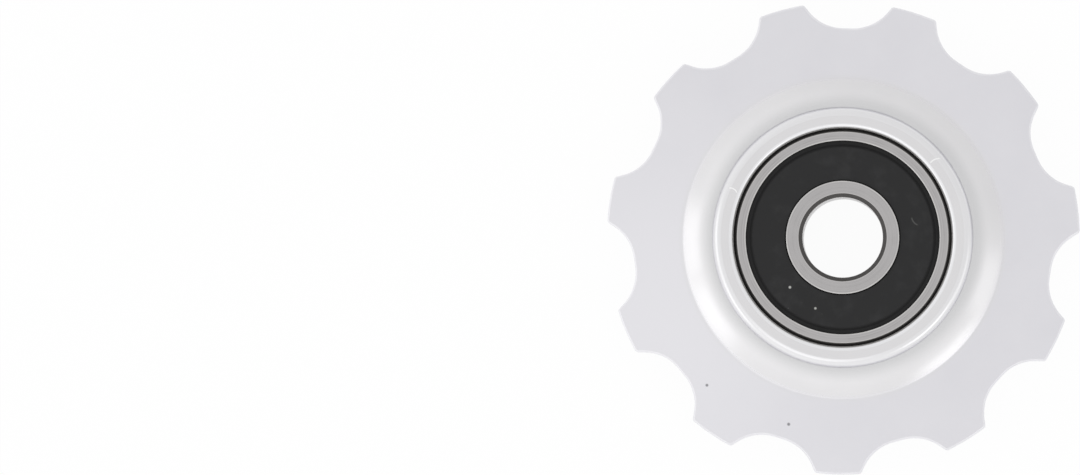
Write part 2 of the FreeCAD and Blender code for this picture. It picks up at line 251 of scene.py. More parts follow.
# A section through corners (across, along, rounding) as complex numbers. Each corner is cut by an arc that
# touches both of its sides, and has one more point just before and just after it. Long sides get points
# between. The second array is the sign of the turn on the arcs and 0 elsewhere.
def roundedLine(corners, closed):
    place = np.array([complex(corner[0], corner[1]) for corner in corners])
    rounding = np.array([corner[2] for corner in corners], float)
    side = np.roll(place, -1) - place
    ahead = side / abs(side)
    behind = np.roll(ahead, 1)
    turn = np.angle(ahead / behind)
    if not closed:
        turn[[0, -1]] = 0
    reach = rounding * np.tan(abs(turn) / 2)
    spare = abs(side) - reach - np.roll(reach, -1)
    support = np.minimum(turning["support"], turning["supportShare"] * spare)
    bendStep = math.radians(turning["bendStep"])
    points = []
    bends = []
    for number in range(len(corners)):
        if turn[number] == 0:
            points.append([place[number]])
            bends.append([0])
        else:
            start = place[number] - behind[number] * reach[number]
            centre = start + 1j * behind[number] * rounding[number] * np.sign(turn[number])
            steps = max(turning["fewestSteps"], math.ceil(abs(turn[number]) / bendStep))
            arc = centre + (start - centre) * np.exp(1j * turn[number] * np.linspace(0, 1, steps + 1))
            before = start - behind[number] * support[number - 1]
            after = arc[-1] + ahead[number] * support[number]
            points += [[before], arc, [after]]
            bends += [[0], np.full(steps + 1, np.sign(turn[number])), [0]]
        if closed or number < len(corners) - 1:
            between = int((spare[number] - 2 * support[number]) / turning["longest"])
            share = np.arange(1, between + 1) / (between + 1)
            first = place[number] + ahead[number] * (reach[number] + support[number])
            last = first + ahead[number] * (spare[number] - 2 * support[number])
            points.append(first + (last - first) * share)
            bends.append(np.zeros(between))
    return np.concatenate(points), np.concatenate(bends)


# A section that is the same above and below the middle plane: the upper half from inside to outside or the
# other way, and its mirror image on the way back.
def mirroredSection(half):
    points, bends = half
    return np.concatenate([points, points[::-1].conj()]), np.concatenate([bends, bends[::-1]])


# A grid as a closed mesh in metres. flat is each point's place over the table as a complex number, and height
# goes with it, both in mm. Columns always go round; rows go round too, or end in poles. Faces are turned
# outwards by the sign of the volume that they enclose. edge is 1 for rows on outer edges, which wear, and which
# on the wheel's turned hub take an even painted highlight.
def gridMesh(name, flat, height, rowsGoRound=True, edge=None):
    rows, columns = flat.shape
    number = np.arange(rows * columns).reshape(rows, columns)
    if rowsGoRound:
        number = np.concatenate([number, number[:1]])
    beside = np.roll(number, -1, axis=1)
    faces = np.stack([number[:-1], beside[:-1], beside[1:], number[1:]], axis=-1).reshape(-1, 4)
    height = np.broadcast_to(height, flat.shape)
    place = np.stack([flat.real, flat.imag, height], axis=-1).reshape(-1, 3) * mm
    corner = place[faces]
    volume = (corner[:, 0] * np.cross(corner[:, 1], corner[:, 2])).sum()
    volume += (corner[:, 0] * np.cross(corner[:, 2], corner[:, 3])).sum()
    if volume < 0:
        faces = faces[:, ::-1]
    mesh = bpy.data.meshes.new(name)
    mesh.from_pydata(place.tolist(), [], faces.tolist())
    if edge is not None:
        attribute = mesh.attributes.new("edge", "FLOAT", "POINT")
        attribute.data.foreach_set("value", np.repeat(edge, columns).astype(np.float32))
    if not rowsGoRound:
        closed = bmesh.new()
        closed.from_mesh(mesh)
        bmesh.ops.remove_doubles(closed, verts=closed.verts, dist=turning["poleGap"])
        closed.to_mesh(mesh)
        closed.free()
    mesh.shade_smooth()
    mesh.set_sharp_from_angle(angle=math.radians(turning["creaseAngle"]))
    return mesh


# A section carried once round an upright axis: axis + across times (cos a, sin a), at the height along.
def turnedMesh(name, section, columns, axis=0j, rowsGoRound=True):
    points, bends = section
    area = (points.conj() * np.roll(points, -1)).imag.sum()
    angle = np.arange(columns) * fullTurn / columns
    flat = axis + points.real[:, None] * np.exp(1j * angle)
    return gridMesh(name, flat, points.imag[:, None], rowsGoRound, np.maximum(bends * np.sign(area), 0))


# Puts a finished mesh in the scene on its body, in the place of its CAD solid.
def placePiece(mesh, material, body, node):
    piece = addObject(mesh.name, mesh)
    mesh.materials.append(material)
    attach(piece, body)
    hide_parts(node)


# Patterns that materials share
marks = {
    "ringHeight": 0.7,       # how fast tool rings change with the height, against the distance
    "scratchCore": 0.25,     # share of a scratch's half width that has its full colour
    "widest": 1000.0,        # mm, more than any piece reaches
}


# A new material, its empty node tree, and the place on the piece in millimetres.
def startMaterial(name):
    material = bpy.data.materials.new(name)
    tree = emptyTree(material)
    metres = addNode(tree, "ShaderNodeTexCoord", output="Object")
    place = addNode(tree, "ShaderNodeVectorMath", {"operation": "SCALE"}, {0: metres, "Scale": 1 / mm})
    return material, tree, place


# Layers of paint over a hex colour: each share of the surface that one covers turns to its colour, which is
# another hex colour or a socket.
def layered(tree, hexColour, layers):
    colour = linearColour(hexColour)
    for share, paint in layers:
        if isinstance(paint, str):
            paint = linearColour(paint)
        colour = addNode(tree, "ShaderNodeMix", colourMix, {0: share, "A": colour, "B": paint})
    return colour


# The shader on the material's output. kind holds what sets it apart, such as metal. The reliefs are patterns,
# the finest first, each with its bump strength and its depth in mm.
def finishMaterial(material, kind, colour, roughness, reliefs):
    tree = material.node_tree
    normal = {}
    for height, (strength, depth) in reliefs:
        relief = {"Height": height, "Strength": strength, "Distance": depth * mm, **normal}
        normal = {"Normal": addNode(tree, "ShaderNodeBump", None, relief)}
    shader = addNode(tree, "ShaderNodeBsdfPrincipled", None,
                     {"Base Color": colour, "Roughness": roughness, **kind, **normal})
    addNode(tree, "ShaderNodeOutputMaterial", None, {"Surface": shader})
    return material


# Steel inside the bearing: one pattern turns its colour darker, one makes it rougher and one is its relief.
def finishHiddenSteel(material, size, darker, rougher, relief):
    tree = material.node_tree
    colour = layered(tree, size["colour"], [(darker, size["darkColour"])])
    level = addNode(tree, "ShaderNodeMapRange", None,
                    {"Value": rougher, "To Min": size["smoothest"], "To Max": size["roughest"]})
    return finishMaterial(material, metal, colour, level, [(relief, size["relief"])])


# Distance from the axle in mm, which is the length of the place with its height left out, and masks by it:
# each is 0 at its first distance, 1 at its second and smooth between them.
def aroundAxle(tree, place, edges):
    flat = addNode(tree, "ShaderNodeVectorMath", multiply, {0: place, 1: (1, 1, 0)})
    distance = addNode(tree, "ShaderNodeVectorMath", {"operation": "LENGTH"}, {0: flat})
    masks = []
    for start, full in edges:
        edge = {"Value": distance, "From Min": start, "From Max": full}
        masks.append(addNode(tree, "ShaderNodeMapRange", smooth, edge))
    return distance, masks


# Distance from a mark's middle in mm. Heights above the wheel's middle plane are left out and depths under it
# count, so that a mark on the front doesn't come through to the back.
def markDistance(tree, place, centre):
    ceiling = (marks["widest"], marks["widest"], 0)
    front = addNode(tree, "ShaderNodeVectorMath", {"operation": "MINIMUM"}, {0: place, 1: ceiling})
    return addNode(tree, "ShaderNodeVectorMath", {"operation": "DISTANCE"}, {0: front, 1: (*centre, 0)})


# Rings round the axle, as a turning or grinding tool leaves them: noise that changes only with the distance
# from the axle and slowly with the height.
def turnedRings(tree, distance, place, pitch):
    height = addNode(tree, "ShaderNodeSeparateXYZ", None, {0: place}, "Z")
    slow = addNode(tree, "ShaderNodeMath", multiply, {0: height, 1: marks["ringHeight"]})
    along = addNode(tree, "ShaderNodeCombineXYZ", None, {0: distance, 2: slow})
    return addNode(tree, "ShaderNodeTexNoise", None, {"Vector": along, "Scale": 1 / pitch, "Detail": 3.0})


# One round spot at a place on the front: 1 inside its radius, fading to 0 at its rim.
def spot(tree, place, centre, radius, softness):
    return addNode(tree, "ShaderNodeMapRange", smooth,
                   {"Value": markDistance(tree, place, centre), "From Min": radius + softness,
                    "From Max": radius - softness})


# A short curved scratch: where the distance from its centre is close to its radius, near its middle.
def curvedScratch(tree, place, mark, halfWidth):
    off = addNode(tree, "ShaderNodeMath", {"operation": "SUBTRACT"},
                  {0: markDistance(tree, place, mark["centre"]), 1: mark["radius"]})
    beside = addNode(tree, "ShaderNodeMath", {"operation": "ABSOLUTE"}, {0: off})
    line = addNode(tree, "ShaderNodeMapRange", smooth,
                   {"Value": beside, "From Min": halfWidth, "From Max": halfWidth * marks["scratchCore"]})
    near = spot(tree, place, mark["middle"], mark["halfLength"], halfWidth)
    return addNode(tree, "ShaderNodeMath", multiply, {0: line, 1: near})


# Toothed wheel
wheel = {
    "teeth": 11,
    "rootRadius": 18.365,    # bottom of a gap, mm
    "toothHeight": 2.31,
    "gapFlat": 0.43,         # half of the flat bottom
    "seatArc": 3.9,          # a little more than a chain roller's radius
    "flankAngle": 50.0,      # degrees
    "tipRound": 0.35,
    "halfPlate": 1.0,
    "edgeBevel": 0.12,
    "bevelRound": 0.07,      # softening of the bevel by bead blasting
    "halfHub": farCorner("toothed_wheel")[2],
    "hubRadius": 11.36,
    "hubRound": 0.8,
    "hubDrop": 0.55,         # from the hub's face down to the start of the scoop
    "footRound": 0.12,       # softening of the line between them
    "scoopRadius": 14.05,
    "scoopHollow": 7.0,      # radius of the scoop's section
    "scoopEdge": 0.12,       # rounding of the crisp edge on the plate
    "arcShare": 0.93,        # keeps an arc off the roundings at its ends
    "seatRadius": farCorner("bearing_outer_ring")[0],
    "seatRound": 0.4,        # rounded lead-in for the bearing
    "seatEnd": farCorner("bearing_outer_ring")[2],
    "lipWidth": 0.75,
    "lipBreak": 0.15,
    "fineEdge": 0.05,        # rounding of machined edges
    "rim": 20.0,             # where the section ends; the tooth outline takes its place
    "rimDepth": 0.3,         # rows this near the outline run along it
    "circleRoom": 0.5,       # past the scoop, rows stay circles this far
    "seatPoints": 11,        # along each part of half a gap, with its ends
    "flankPoints": 5,
    "cornerPoints": 8,
    "tipPoints": 6,
}


# The tooth outline as complex numbers with its outward directions, anticlockwise. Half a gap, from its middle
# on +Y: flat bottom, seat arc, straight flank, rounded corner, and the tip circle to the tooth's middle.
def toothOutline(size):
    root = size["rootRadius"]
    arc = size["seatArc"]
    slope = math.radians(size["flankAngle"])
    tip = root + size["toothHeight"]
    reach = tip - size["tipRound"]
    along = np.exp(1j * slope)
    outward = 1j * along
    arcCentre = complex(size["gapFlat"], root + arc)
    arcAngle = np.linspace(-math.pi / 2, -math.pi / 2 + slope, size["seatPoints"])
    arcPoints = arcCentre + arc * np.exp(1j * arcAngle)
    cornerBase = arcPoints[-1] - outward * size["tipRound"]
    ahead = (cornerBase * along.conjugate()).real
    flank = math.sqrt(reach ** 2 - abs(cornerBase) ** 2 + ahead ** 2) - ahead
    flankPoints = arcPoints[-1] + along * flank * np.linspace(0, 1, size["flankPoints"])[1:-1]
    corner = cornerBase + along * flank
    cornerAngle = np.linspace(np.angle(outward), np.angle(corner), size["cornerPoints"])
    cornerPoints = corner + size["tipRound"] * np.exp(1j * cornerAngle)
    toothMiddle = math.pi / 2 - math.pi / size["teeth"]
    tipAngle = np.linspace(np.angle(corner), toothMiddle, size["tipPoints"])[1:]
    half = np.concatenate([[1j * root], arcPoints, flankPoints, cornerPoints, tip * np.exp(1j * tipAngle)])
    facing = np.concatenate([
        [1j], -np.exp(1j * arcAngle), np.full(len(flankPoints), outward), np.exp(1j * cornerAngle),
        np.exp(1j * tipAngle),
    ])
    gap = np.concatenate([half[:0:-1], -half[:-1].conj()])
    gapFacing = np.concatenate([facing[:0:-1], -facing[:-1].conj()])
    turns = np.exp(1j * np.arange(size["teeth"]) * fullTurn / size["teeth"])
    return (turns[:, None] * gap).ravel(), (turns[:, None] * gapFacing).ravel()


# Half of the wheel's section from its rim to the hub's face. An arc is written as the corner where the lines
# that touch its ends meet: one for the hollow scoop, and one for the hub's edge, which runs down to it.
def webCorners(size):
    plate = size["halfPlate"]
    bevel = size["edgeBevel"]
    edge = complex(size["scoopRadius"], plate)
    foot = complex(size["hubRadius"], size["halfHub"] - size["hubDrop"])
    halfArc = math.asin(abs(foot - edge) / 2 / size["scoopHollow"])
    hollow = (edge + foot) / 2 + 0.5j * (foot - edge) * math.tan(halfArc)
    hubLean = math.acos(1 - size["hubDrop"] / size["hubRound"])
    shoulder = size["hubRadius"] - size["hubDrop"] / math.tan(hubLean)
    return [
        (size["rim"], plate - bevel, size["bevelRound"]),
        (size["rim"] - bevel, plate, size["bevelRound"]),
        (edge.real, edge.imag, size["scoopEdge"]),
        (hollow.real, hollow.imag, size["arcShare"] * size["scoopHollow"]),
        (foot.real, foot.imag, size["footRound"]),
        (shoulder, size["halfHub"], size["arcShare"] * size["hubRound"]),
    ]


# The wheel's surface: rows follow the section, columns the tooth outline. Inside the plate the rows are
# circles; at the rim they are the outline moved inwards by their depth; between them they change evenly.
def makeWheelMesh(size):
    circleEnd = size["scoopRadius"] + size["circleRoom"]
    rimStart = size["rim"] - size["rimDepth"]
    web = webCorners(size)
    seat = size["seatRadius"]
    lip = seat - size["lipWidth"]
    hub = size["halfHub"]
    fine = size["fineEdge"]
    front = [(seat, hub, size["seatRound"])]
    back = [
        (seat, -size["seatEnd"], fine),
        (lip, -size["seatEnd"], fine),
        (lip, -hub + size["lipBreak"], fine),
        (lip + size["lipBreak"], -hub, fine),
    ]
    below = [(across, -along, rounding) for across, along, rounding in web[::-1]]
    section, bends = roundedLine(web + front + back + below, closed=True)
    outline, facing = toothOutline(size)
    across = section.real[:, None]
    share = np.clip((across - circleEnd) / (rimStart - circleEnd), 0, 1)
    circles = np.minimum(across, circleEnd) * outline / abs(outline)
    rims = outline - np.clip(size["rim"] - across, 0, size["rimDepth"]) * facing
    flat = circles * (1 - share) + rims * share
    nearScoop = abs(section.real - size["scoopRadius"]) < size["circleRoom"]   # its edge is blasted, not worn
    edge = np.where(nearScoop, 0, np.maximum(bends, 0))
    return gridMesh("jockeyWheel", flat, section.imag[:, None], edge=edge)


# Bead-blasted and clear-anodised 7075 aluminium: an even pale satin with a very fine grain, a little smoother
# on the turned hub and scoop, where the blasting is thinner, and bright where the seat was cut afterwards.
# The corner at the foot of the hub is painted darker: painted shade under the hub's wall.
aluminium = {
    "colour": "#E2E1E6",
    "cloudColour": "#EAE9ED",
    # Painted highlight: the plate is painted paler towards its left side, where the light comes from.
    "paintedLightColour": "#EEEDF1",
    "paintedLightCentre": (-15.0, -5.0),   # mm
    "paintedLightRadius": 12.0,      # mm, half-way out of the painted highlight on the plate's left side
    "paintedLightFade": 10.0,
    "turnedColour": "#E3E2E4",
    "turnedCloud": "#EBEAEB",
    # bright bare metal where the seat was cut, worn edges, and a painted highlight on the hub's turned edges
    "brightCutAndSheen": "#F2F2F4",
    # painted shade at the foot of the hub
    "footShadeColour": "#D2D2D3",
    "footShadeInside": 0.5,     # mm that the painted shade in the corner fades over towards the hub
    "footShadeOutside": 1.5,    # and over the scoop
    # painted shade: the seat is painted darker next to the gap round the bearing
    "gapShadeColour": "#C0BFBE",
    "gapShadeStart": 0.08,       # mm from the bearing to where the painted shade of the gap beside it fades out
    "gapShadeEnd": 0.24,
    "specks": "#98989B",
    "roughness": 0.36,
    "hubRoughness": 0.24,
    "cutRoughness": 0.25,
    "unevenness": 0.03,      # of the roughness
    "grain": {"Scale": 1 / 0.16, "Detail": 2.0, "Roughness": 0.7},   # mm; real 0.05 mm is too fine to show
    "ringPitch": 0.14,       # mm; real feed marks are 0.08 mm, drawn coarser to show
    "clouds": {"Scale": 1 / 6.0, "Detail": 3.0, "Roughness": 0.6},   # mm
    "wear": {"Scale": 1 / 1.1, "Detail": 3.0},   # mm
    "wearRange": {"From Min": 0.35, "From Max": 0.7, "To Min": 0.25, "To Max": 0.8},
    "hubSheen": 0.5,          # share of the bright tone on the turned edges: an even painted highlight, not wear
    "turnedFade": 0.5,       # mm, at the scoop's edge
    "cutFade": 0.05,         # mm, at the seat's lead-in
    "speckFade": 0.06,       # mm
    "grainRelief": (0.12, 0.02),   # bump strength, and depth in mm
    "ringRelief": (0.10, 0.02),
    "speckPlaces": [(-11.61, -13.13, 0.12), (-4.39, -16.38, 0.13)],
    "scratchColour": "#FFFFFF",
    "scratchWidth": 0.09,    # mm, half of it
    "scratches": [
        {"centre": (-9.885, 3.435), "radius": 0.647, "middle": (-9.57, 4.0), "halfLength": 0.40},
        {"centre": (8.30, 6.06), "radius": 0.977, "middle": (7.87, 6.94), "halfLength": 0.48},
    ],
}


def makeAluminium(size, body):
    material, tree, place = startMaterial("bead-blasted anodised aluminium")
    seat = body["seatRadius"]
    cutEnd = seat + body["seatRound"]
    foot = body["hubRadius"]
    turnedEnd = body["scoopRadius"]
    distance, masks = aroundAxle(tree, place, [
        (turnedEnd + size["turnedFade"], turnedEnd - size["turnedFade"]),
        (cutEnd + size["cutFade"], cutEnd - size["cutFade"]),
        (seat + size["gapShadeEnd"], seat + size["gapShadeStart"]),
        (foot - size["footShadeInside"], foot),
        (foot + size["footShadeOutside"], foot),
    ])
    turned, cut, gapShade, footShadeInside, footShadeOutside = masks
    # Painted shade in the corner at the foot of the hub.
    corner = addNode(tree, "ShaderNodeMath", multiply, {0: footShadeInside, 1: footShadeOutside})
    edge = addNode(tree, "ShaderNodeAttribute", {"attribute_name": "edge"}, output="Fac")
    cloud = addNode(tree, "ShaderNodeTexNoise", None, {"Vector": place, **size["clouds"]})
    blasted = addNode(tree, "ShaderNodeTexNoise", None, {"Vector": place, **size["grain"]})
    rings = turnedRings(tree, distance, place, size["ringPitch"])
    rings = addNode(tree, "ShaderNodeMath", multiply, {0: rings, 1: turned})
    patches = addNode(tree, "ShaderNodeTexNoise", None, {"Vector": place, **size["wear"]})
    wear = addNode(tree, "ShaderNodeMapRange", smooth, {"Value": patches, **size["wearRange"]})
    # On the turned hub the edges get an even bright tone, a painted highlight; elsewhere it is patchy wear.
    wear = addNode(tree, "ShaderNodeMix", numberMix, {"Factor": turned, "A": wear, "B": size["hubSheen"]})
    worn = addNode(tree, "ShaderNodeMath", multiply, {0: edge, 1: wear})
    # Painted highlight: a paler patch on the left side of the plate.
    paintedLight = spot(tree, place, size["paintedLightCentre"], size["paintedLightRadius"], size["paintedLightFade"])
    hub = layered(tree, size["turnedColour"], [(cloud, size["turnedCloud"])])
    # The paler side and the hub's bright edges are painted highlight; the foot's corner and the gap are painted
    # shade.
    layers = [(cloud, size["cloudColour"]), (paintedLight, size["paintedLightColour"]), (turned, hub),
              (corner, size["footShadeColour"]), (worn, size["brightCutAndSheen"]), (cut, size["brightCutAndSheen"]),
              (gapShade, size["gapShadeColour"])]
    for x, y, radius in size["speckPlaces"]:
        layers.append((spot(tree, place, (x, y), radius, size["speckFade"]), size["specks"]))
    for mark in size["scratches"]:
        layers.append((curvedScratch(tree, place, mark, size["scratchWidth"]), size["scratchColour"]))
    colour = layered(tree, size["colour"], layers)
    level = addNode(tree, "ShaderNodeMix", numberMix,
                    {"Factor": turned, "A": size["roughness"], "B": size["hubRoughness"]})
    level = addNode(tree, "ShaderNodeMix", numberMix, {"Factor": cut, "A": level, "B": size["cutRoughness"]})
    uneven = addNode(tree, "ShaderNodeMapRange", None,
                     {"Value": blasted, "To Min": -size["unevenness"], "To Max": size["unevenness"]})
    level = addNode(tree, "ShaderNodeMath", add, {0: level, 1: uneven})
    reliefs = [(blasted, size["grainRelief"]), (rings, size["ringRelief"])]
    return finishMaterial(material, metal, colour, level, reliefs)


placePiece(makeWheelMesh(wheel), makeAluminium(aluminium, wheel), "wheel", "toothed_wheel")
print("toothed wheel:", wheel["teeth"], "teeth")


# Bearing rings
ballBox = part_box("bearing_ball_1")
bearing = {
    "boreRadius": 3.5,
    "boreChamfer": 0.35,
    "ringRadius": wheel["seatRadius"],
    "ringChamfer": 0.3,
    "halfWidth": wheel["seatEnd"],
    "faceBreak": 0.08,
    "balls": 7,
    "ballCircle": round(sum(corner.y for corner in ballBox) / 2 / mm, 2),
    "ballRadius": farCorner("bearing_ball_1")[2],
    "raceClearance": 0.02,
    "raceDepth": 0.62,       # under the rings' shoulders
    "raceRadius": 1.82,
    "racePoints": 19,        # along a raceway, with its ends
    "landDrop": 0.4,         # from the inner ring's shoulder to the land that the seal runs on
    "landStep": 0.15,
    "ledgeWidth": 0.79,      # from the outer ring's shoulder to the edge of its face
    "grooveDepth": 0.16,     # under that edge
    "grooveWidth": 0.33,
    "ledgeHeight": 2.13,
    "fineEdge": 0.03,
    "outsideRow": 0.6,       # mm from the middle plane to the first row on a plain cylinder
}
shoulderRoom = bearing["ballRadius"] + bearing["raceClearance"] - bearing["raceDepth"]
bearing["innerShoulder"] = bearing["ballCircle"] - shoulderRoom
bearing["outerShoulder"] = bearing["ballCircle"] + shoulderRoom
bearing["faceRadius"] = bearing["outerShoulder"] + bearing["ledgeWidth"]
bearing["grooveRadius"] = bearing["faceRadius"] + bearing["grooveDepth"]
bearing["grooveTop"] = bearing["ledgeHeight"] + bearing["grooveWidth"]


# Half of the inner ring's section, from the shoulder: ledge, slope to the seal's land, face, bevel and bore.
def innerRingCorners(size):
    half = size["halfWidth"]
    land = size["innerShoulder"] - size["landDrop"]
    fine = size["fineEdge"]
    return [
        (size["innerShoulder"], size["ledgeHeight"], fine),
        (land, size["ledgeHeight"] + size["landStep"], fine),
        (land, half, size["faceBreak"]),
        (size["boreRadius"] + size["boreChamfer"], half, fine),
        (size["boreRadius"], half - size["boreChamfer"], fine),
        (size["boreRadius"], size["outsideRow"], 0),
    ]


# Half of the outer ring's section, from the shoulder: ledge, the seal's groove, face, bevel and rim.
def outerRingCorners(size):
    half = size["halfWidth"]
    fine = size["fineEdge"]
    return [
        (size["outerShoulder"], size["ledgeHeight"], fine),
        (size["grooveRadius"], size["ledgeHeight"], fine),
        (size["grooveRadius"], size["grooveTop"], fine),
        (size["faceRadius"], size["grooveTop"] + size["grooveDepth"], fine),
        (size["faceRadius"], half, size["faceBreak"]),
        (size["ringRadius"] - size["ringChamfer"], half, fine),
        (size["ringRadius"], half - size["ringChamfer"], fine),
        (size["ringRadius"], size["outsideRow"], 0),
    ]


# A ring: the corners of half its section from the shoulder on, their mirror image, and the raceway that joins
# them, an arc about a point beside the ball circle. side is -1 for the inner ring and 1 for the outer one.
def makeRingMesh(name, size, corners, side):
    shoulder = corners[0][0]
    lean = math.acos(1 - size["raceDepth"] / size["raceRadius"])
    raceEnd = (shoulder, size["raceRadius"] * math.sin(lean), 0)
    points, bends = mirroredSection(roundedLine([raceEnd] + corners, closed=False))
    centre = shoulder + side * (size["raceDepth"] - size["raceRadius"])
    turn = side * np.linspace(-lean, lean, size["racePoints"])[1:-1]
    arc = centre + side * size["raceRadius"] * np.exp(1j * turn)
    section = (np.concatenate([points, arc]), np.concatenate([bends, np.zeros(len(arc))]))
    return turnedMesh(name, section, turning["columns"])


# Through-hardened and ground bearing steel: even mid-grey faces with very fine lines round the axle. The
# bevels are unground and darker, and are painted darker still as painted shade of the bore and of the gap round
# the ring.
ringSteel = {
    "colour": "#BBB9B9",
    "darkLine": "#A6A4A4",
    "edgeColour": "#DAD8D6",
    # unground bevels, painted darker as painted shade in the bore and in the gap beside the rim
    "ungroundShadedBore": "#696766",
    "ungroundShadedRim": "#595857",
    "smoothest": 0.25,       # roughness of the ground faces, from here
    "roughest": 0.35,        # to here
    "ungroundRoughness": 0.5,
    "linePitch": 0.10,       # mm; real grinding lines are 0.02 mm, drawn coarser to show
    "lineRange": {"From Min": 0.35, "From Max": 0.75},
    "clouds": {"Scale": 1 / 1.6, "Detail": 3.0, "Roughness": 0.6},   # mm
    "patchRange": {"From Min": 0.3, "From Max": 0.7, "To Min": 0.4, "To Max": 1.0},
    "relief": (0.15, 0.01),
    "bevelFade": 0.02,       # mm
    "rimFade": 0.14,         # mm, at the outer bevel, over which its painted shade fades in from the inner edge
}


def makeRingSteel(size, ring):
    material, tree, place = startMaterial("ground bearing steel")
    fade = size["bevelFade"]
    bore = ring["boreRadius"]
    boreEnd = bore + ring["boreChamfer"]
    rimStart = ring["ringRadius"] - ring["ringChamfer"]
    distance, masks = aroundAxle(tree, place, [
        (bore + fade, bore + 2 * fade),
        (boreEnd + fade, boreEnd - fade),
        (rimStart, rimStart + size["rimFade"]),
    ])
    boreBevel = addNode(tree, "ShaderNodeMath", multiply, {0: masks[0], 1: masks[1]})
    rimBevel = masks[2]
    bevel = addNode(tree, "ShaderNodeMath", add, {0: boreBevel, 1: rimBevel})
    edge = addNode(tree, "ShaderNodeAttribute", {"attribute_name": "edge"}, output="Fac")
    rings = turnedRings(tree, distance, place, size["linePitch"])
    cloud = addNode(tree, "ShaderNodeTexNoise", None, {"Vector": place, **size["clouds"]})
    fineLines = addNode(tree, "ShaderNodeMapRange", smooth, {"Value": rings, **size["lineRange"]})
    patches = addNode(tree, "ShaderNodeMapRange", smooth, {"Value": cloud, **size["patchRange"]})
    streaks = addNode(tree, "ShaderNodeMath", multiply, {0: fineLines, 1: patches})
    worn = addNode(tree, "ShaderNodeMath", multiply, {0: edge, 1: patches})
    # Painted shade: the bevels are painted dark, beyond their unground tone.
    layers = [(streaks, size["darkLine"]), (worn, size["edgeColour"]), (boreBevel, size["ungroundShadedBore"]),
              (rimBevel, size["ungroundShadedRim"])]
    colour = layered(tree, size["colour"], layers)
    ground = addNode(tree, "ShaderNodeMapRange", None,
                     {"Value": rings, "To Min": size["smoothest"], "To Max": size["roughest"]})
    level = addNode(tree, "ShaderNodeMix", numberMix,
                    {"Factor": bevel, "A": ground, "B": size["ungroundRoughness"]})
    return finishMaterial(material, metal, colour, level, [(rings, size["relief"])])


ringMaterial = makeRingSteel(ringSteel, bearing)
innerRing = makeRingMesh("bearingInnerRing", bearing, innerRingCorners(bearing), -1)
outerRing = makeRingMesh("bearingOuterRing", bearing, outerRingCorners(bearing), 1)
placePiece(innerRing, ringMaterial, "inner_ring", "bearing_inner_ring")
placePiece(outerRing, ringMaterial, "wheel", "bearing_outer_ring")
print("bearing rings: 2")


# Seals
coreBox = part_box("seal_core_front")
seal = {
    "lipClearance": 0.03,    # between the lip and the inner ring's land
    "lipDepth": 0.30,        # width of the rubber inside the core
    "lipLift": 0.15,
    "face": farCorner("seal_front")[2],
    "edge": 0.07,
    "coreBottom": round(coreBox[0].z / mm, 2),
    "coreTop": round(coreBox[1].z / mm, 2),
    "coreOutside": farCorner("seal_core_front")[0],
    "beadWidth": 0.32,       # of the low bead between the raised face and the outer ring
    "beadDrop": 0.15,
    "beadSlope": 0.24,       # width of the slope down to it
    "fineEdge": 0.03,
    "softEdge": 0.05,
}
seal["lipRadius"] = bearing["innerShoulder"] - bearing["landDrop"] + seal["lipClearance"]
seal["coreInside"] = seal["lipRadius"] + seal["lipDepth"]


# A seal's section: lip, raised face, low bead, the part snapped under the ring's edge, and the core's seat.
def sealCorners(size, ring):
    fine = size["fineEdge"]
    soft = size["softEdge"]
    bottom = size["coreBottom"]
    beadInside = ring["faceRadius"] - size["beadWidth"]
    beadHeight = size["face"] - size["beadDrop"]
    return [
        (size["lipRadius"], bottom + size["lipLift"], fine),
        (size["lipRadius"], size["face"] - size["edge"], fine),
        (size["lipRadius"] + size["edge"], size["face"], soft),
        (beadInside - size["beadSlope"], size["face"], soft),
        (beadInside, beadHeight, soft),
        (ring["faceRadius"], beadHeight, fine),
        (ring["faceRadius"], ring["grooveTop"] + ring["grooveDepth"], fine),
        (ring["grooveRadius"], ring["grooveTop"], fine),
        (ring["grooveRadius"], ring["ledgeHeight"], fine),
        (size["coreOutside"], ring["ledgeHeight"], fine),
        (size["coreOutside"], size["coreTop"], fine),
        (size["coreInside"], size["coreTop"], fine),
        (size["coreInside"], bottom, fine),
        (size["coreInside"] - size["lipDepth"] / 2, bottom, fine),
    ]


# The section of a core, a flat washer.
def coreCorners(size):
    return [
        (size["coreInside"], size["coreBottom"], size["fineEdge"]),
        (size["coreOutside"], size["coreBottom"], size["fineEdge"]),
        (size["coreOutside"], size["coreTop"], size["fineEdge"]),
        (size["coreInside"], size["coreTop"], size["fineEdge"]),
    ]


# A seal or a core for the front, or turned over for the back.
def makeSealMesh(name, corners, facing):
    points, bends = roundedLine(corners, closed=True)
    if facing < 0:
        points = points.conj()
    return turnedMesh(name, (points, bends), turning["columns"])


